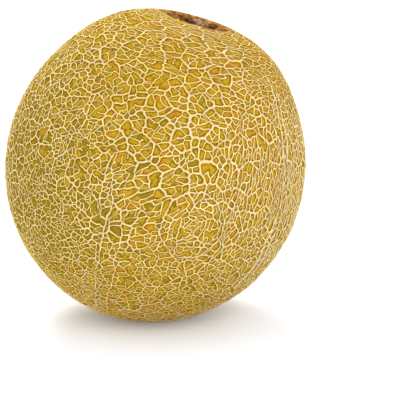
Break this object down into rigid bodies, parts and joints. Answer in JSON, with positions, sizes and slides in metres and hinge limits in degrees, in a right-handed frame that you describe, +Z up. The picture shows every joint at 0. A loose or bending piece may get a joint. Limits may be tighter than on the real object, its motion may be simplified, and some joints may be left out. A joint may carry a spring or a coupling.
{
  "type": "netted melon",
  "caption": "Whole ripe netted melon, nearly round, with a corky slip scar at the stem end, leaning a little on a small flat spot.",
  "frame": {"origin": "middle of the small flat spot the melon rests on", "axes": "+Z up from the floor; +X towards the side the stem end leans to, 16 degrees from upright; +Y to the back"},
  "size_m": [0.1465, 0.1458, 0.1512],
  "materials": {
    "rind": "golden rind under a rough pale corky net"
  },
  "bodies": {
    "root": {"melon": "rind"}
  },
  "joints": []
}
